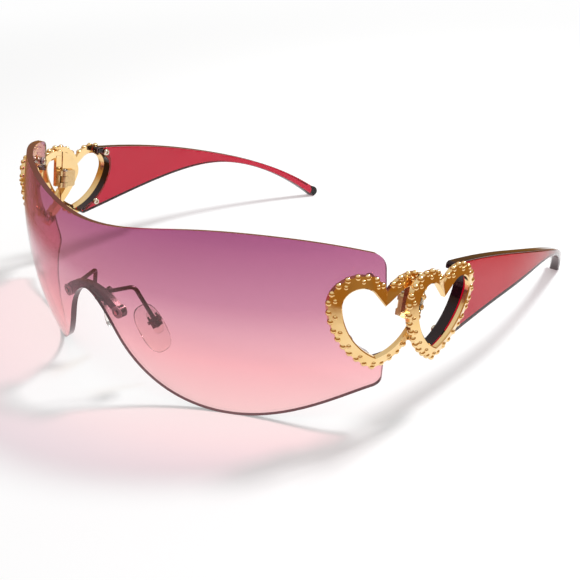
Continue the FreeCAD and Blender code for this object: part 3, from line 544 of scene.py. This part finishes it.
class SUNGLASSES_OT_nose_frame(bpy.types.Operator):
    """Finish the nose bridge, its arms and the pad boxes"""
    bl_idname = "sunglasses.nose_frame"
    bl_label = "Nose bridge"

    def execute(self, context):
        dress(["bridge_bar"] + both("pad_arm", "pad_box"), worked_metal(NICKEL_SILVER))
        dress(both("pad_screw"), worked_metal(BLACK_STEEL))
        return {"FINISHED"}


def pad_axes(side, points):
    """Axes of a nose pad: down its length, across it along its rocking pin, and towards the nose or away."""
    joint = next(joint for joint in frame["joints"] if joint["name"] == "pad_rock_" + side)
    across = Vector(joint["axis"]).normalized()
    middle = sum(points, Vector()) / len(points)
    down = Vector(PAD_DOWN)
    down.x = math.copysign(down.x, middle.x)
    down = (down - across * down.dot(across)).normalized()
    return down, across, down.cross(across).normalized()


def pad_frame(side):
    """Axes of a CAD pad, its middle, and its half sizes along them."""
    points = [vertex.co for vertex in frame["nodes"]["nose_pad_" + side].data.vertices]
    axes = pad_axes(side, points)
    middle = Vector()
    halves = []
    for axis in axes:
        reaches = [point.dot(axis) for point in points]
        low, high = min(reaches), max(reaches)
        middle += axis * (low + high) / 2
        halves.append((high - low) / 2)
    return axes, middle, halves


def pad_mesh(side):
    """Crowned oval in the place of a CAD pad, formed from a ball."""
    choice = settings().pad
    outline, rim = choice.roundness, choice.rim
    axes, middle, halves = pad_frame(side)
    towards_nose = -math.copysign(1.0, middle.x * axes[2].x)
    body = bmesh.new()
    bmesh.ops.create_icosphere(body, subdivisions=PAD_SUBDIVISIONS, radius=1.0)
    for vertex in body.verts:
        along, across, through = vertex.co
        flat = (abs(along) ** outline + abs(across) ** outline) ** (rim / outline)
        reach = (flat + abs(through) ** rim) ** (-1 / rim)
        along, across, through = along * reach, across * reach, through * reach
        crown = choice.crown * towards_nose * (1 - along ** 2) * (1 - across ** 2)
        depth = through * (halves[2] - choice.crown) + crown
        shift = axes[0] * (along * halves[0]) + axes[1] * (across * halves[1]) + axes[2] * depth
        vertex.co = middle + shift
    bmesh.ops.recalc_face_normals(body, faces=body.faces)
    mesh = bpy.data.meshes.new("silicone_pad_" + side)
    body.to_mesh(mesh)
    body.free()
    mesh.polygons.foreach_set("use_smooth", [True] * len(mesh.polygons))
    return mesh


class SUNGLASSES_OT_nose_pads(bpy.types.Operator):
    """Model the soft nose pads over their CAD solids"""
    bl_idname = "sunglasses.nose_pads"
    bl_label = "Nose pads"

    def execute(self, context):
        # Silicone with a fine matt skin, over a hard clear insert that bends light almost alike
        silicone = clear_moulding("clear silicone", SILICONE_IOR, SILICONE_POLISH, SILICONE_GRAIN)
        insert = clear_moulding("clear polycarbonate", INSERT_IOR, INSERT_POLISH, INSERT_GRAIN)
        dress(both("pad_core"), insert)
        for side in SIDES:
            mesh = pad_mesh(side)
            mesh.materials.append(silicone)
            pad = bpy.data.objects.new("silicone_pad_" + side, mesh)
            context.scene.collection.objects.link(pad)
            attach(pad, "pad_" + side)
            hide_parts("nose_pad_" + side)
        return {"FINISHED"}


def floor_sheet(size):
    """Square floor under the lowest point of the part."""
    mesh = bpy.data.meshes.new("floor")
    half = size / 2
    corners = [(-half, -half, 0), (half, -half, 0), (half, half, 0), (-half, half, 0)]
    mesh.from_pydata(corners, [], [(0, 1, 2, 3)])
    floor = bpy.data.objects.new("floor", mesh)
    bpy.context.scene.collection.objects.link(floor)
    floor.location.z = CAD_BOX[0][2]
    return floor


def mirrored(tree, path):
    """Light that a shiny face throws back.

    Light that comes through glass counts as glossy too, so it is taken off.
    """
    glossy, passed = path.outputs["Is Glossy Ray"], path.outputs["Is Transmission Ray"]
    return reckon(tree, "SUBTRACT", glossy, passed, use_clamp=True)


def coated_board():
    """White coated board: even and matt to the eye, with a faint tooth about 1 mm across.

    Where it is seen, directly or by way of metal or glass, part of it is plain white, so shadows stay pale,
    and well away from the object it is all white. A shiny face mirrors the brown table that such a board
    would lie on, from a hand's breadth round the object outwards.
    """
    choice = settings().stage
    material, tree = new_material("white coated board")
    place = add(tree, "ShaderNodeTexCoord").outputs["Object"]
    path = add(tree, "ShaderNodeLightPath")
    tooth = noise(tree, place, TOOTH_SIZE)
    board = add(tree, "ShaderNodeBsdfPrincipled", {
        "Base Color": opaque(choice.floor_colour),
        "Roughness": between(tree, tooth, BOARD_POLISH),
        "Specular IOR Level": BOARD_SHINE,
    })
    white = add(tree, "ShaderNodeEmission", {"Color": opaque(choice.floor_colour), "Strength": 1.0})
    table = add(tree, "ShaderNodeEmission", {"Color": opaque(choice.table_colour), "Strength": 1.0})

    distance = add(tree, "ShaderNodeVectorMath", {0: place}, operation="LENGTH").outputs["Value"]
    by_way = reckon(tree, "MAXIMUM", path.outputs["Is Glossy Ray"], path.outputs["Is Transmission Ray"])
    seen = reckon(tree, "MAXIMUM", path.outputs["Is Camera Ray"], by_way)
    plain = reckon(tree, "MULTIPLY", seen, fade(tree, distance, WHITE_REACH, choice.floor_white))
    sheet = blend(tree, plain, board.outputs["BSDF"], white.outputs["Emission"])
    table_share = reckon(tree, "MULTIPLY", mirrored(tree, path), fade(tree, distance, TABLE_REACH))
    surface = blend(tree, table_share, sheet, table.outputs["Emission"])
    add(tree, "ShaderNodeOutputMaterial", {"Surface": surface})
    return material


def backdrop(tree, height, tones, strength):
    """Background whose tone changes with height."""
    ramp = add(tree, "ShaderNodeValToRGB", {"Fac": height})
    set_stops(ramp, [(place, linear(code)) for place, code in tones])
    inputs = {"Color": ramp.outputs["Color"], "Strength": strength}
    return add(tree, "ShaderNodeBackground", inputs).outputs["Background"]


def studio_world():
    """Even light before a white ground, with a warm dim horizon in reflections, for metal to show."""
    choice = settings().stage
    world = bpy.data.worlds.new("studio")
    world.use_nodes = True
    tree = world.node_tree
    tree.nodes.clear()
    place = add(tree, "ShaderNodeTexCoord")
    height = add(tree, "ShaderNodeSeparateXYZ", {"Vector": place.outputs["Generated"]}).outputs["Z"]
    room = backdrop(tree, height, ROOM_TONES, choice.room_strength)
    fill = backdrop(tree, height, FILL_TONES, choice.sky_strength)
    ground = add(tree, "ShaderNodeBackground", {"Color": opaque(linear(GROUND_TONE)), "Strength": 1.0})
    path = add(tree, "ShaderNodeLightPath")
    lit = blend(tree, mirrored(tree, path), fill, room)
    surface = blend(tree, path.outputs["Is Camera Ray"], lit, ground.outputs["Background"])
    add(tree, "ShaderNodeOutputWorld", {"Surface": surface})
    return world


class SUNGLASSES_OT_stage(bpy.types.Operator):
    """Set the floor, the light and the camera"""
    bl_idname = "sunglasses.stage"
    bl_label = "Stage"

    def execute(self, context):
        scene = context.scene
        choice = settings().stage
        scene.view_settings.view_transform = "Standard"
        floor_sheet(choice.floor_size).data.materials.append(coated_board())
        scene.world = studio_world()

        lamp = bpy.data.lights.new("key", "AREA")
        lamp.energy = choice.key_power
        lamp.size = KEY_SIZE
        key = bpy.data.objects.new("key", lamp)
        key.location = KEY_PLACE
        key.rotation_euler = (-key.location).to_track_quat("-Z", "Y").to_euler()
        scene.collection.objects.link(key)

        lens = bpy.data.cameras.new("camera")
        lens.sensor_width = SENSOR_WIDTH
        lens.lens = choice.focal_length
        lens.clip_start = NEAREST_SEEN
        camera = bpy.data.objects.new("camera", lens)
        camera.location = CAMERA_PLACE
        camera.rotation_euler = Euler([math.radians(turn) for turn in CAMERA_TURNS])
        scene.collection.objects.link(camera)
        scene.camera = camera
        return {"FINISHED"}


class SunglassesSettings(bpy.types.PropertyGroup):
    """All settings of the sunglasses."""
    lens: bpy.props.PointerProperty(type=LensSettings, name="Lens", description="Tint of the lens")
    gold: bpy.props.PointerProperty(type=GoldSettings, name="Gold", description="Plating of the castings")
    temple: bpy.props.PointerProperty(type=TempleSettings, name="Temple", description="Acetate of temples")
    pad: bpy.props.PointerProperty(type=PadSettings, name="Pads", description="Soft nose pads")
    stage: bpy.props.PointerProperty(type=StageSettings, name="Stage", description="Floor, light and camera")


OPERATORS = (SUNGLASSES_OT_lens, SUNGLASSES_OT_hearts, SUNGLASSES_OT_hinges, SUNGLASSES_OT_temples,
             SUNGLASSES_OT_fasteners, SUNGLASSES_OT_nose_frame, SUNGLASSES_OT_nose_pads, SUNGLASSES_OT_stage)


class SUNGLASSES_PT_panel(bpy.types.Panel):
    """Sidebar panel with one button for each group of pieces"""
    bl_idname = "SUNGLASSES_PT_panel"
    bl_label = "Sunglasses"
    bl_space_type = "VIEW_3D"
    bl_region_type = "UI"
    bl_category = "Sunglasses"

    def draw(self, context):
        for operator in OPERATORS:
            self.layout.operator(operator.bl_idname)


CLASSES = (LensSettings, GoldSettings, TempleSettings, PadSettings, StageSettings, SunglassesSettings,
           *OPERATORS, SUNGLASSES_PT_panel)


def register():
    for made in CLASSES:
        bpy.utils.register_class(made)
    bpy.types.Scene.sunglasses = bpy.props.PointerProperty(type=SunglassesSettings)


def unregister():
    del bpy.types.Scene.sunglasses
    for made in reversed(CLASSES):
        bpy.utils.unregister_class(made)


def main():
    register()
    bpy.ops.sunglasses.lens()
    bpy.ops.sunglasses.hearts()
    bpy.ops.sunglasses.hinges()
    bpy.ops.sunglasses.temples()
    bpy.ops.sunglasses.fasteners()
    bpy.ops.sunglasses.nose_frame()
    bpy.ops.sunglasses.nose_pads()
    bpy.ops.sunglasses.stage()


if __name__ == "__main__":
    main()
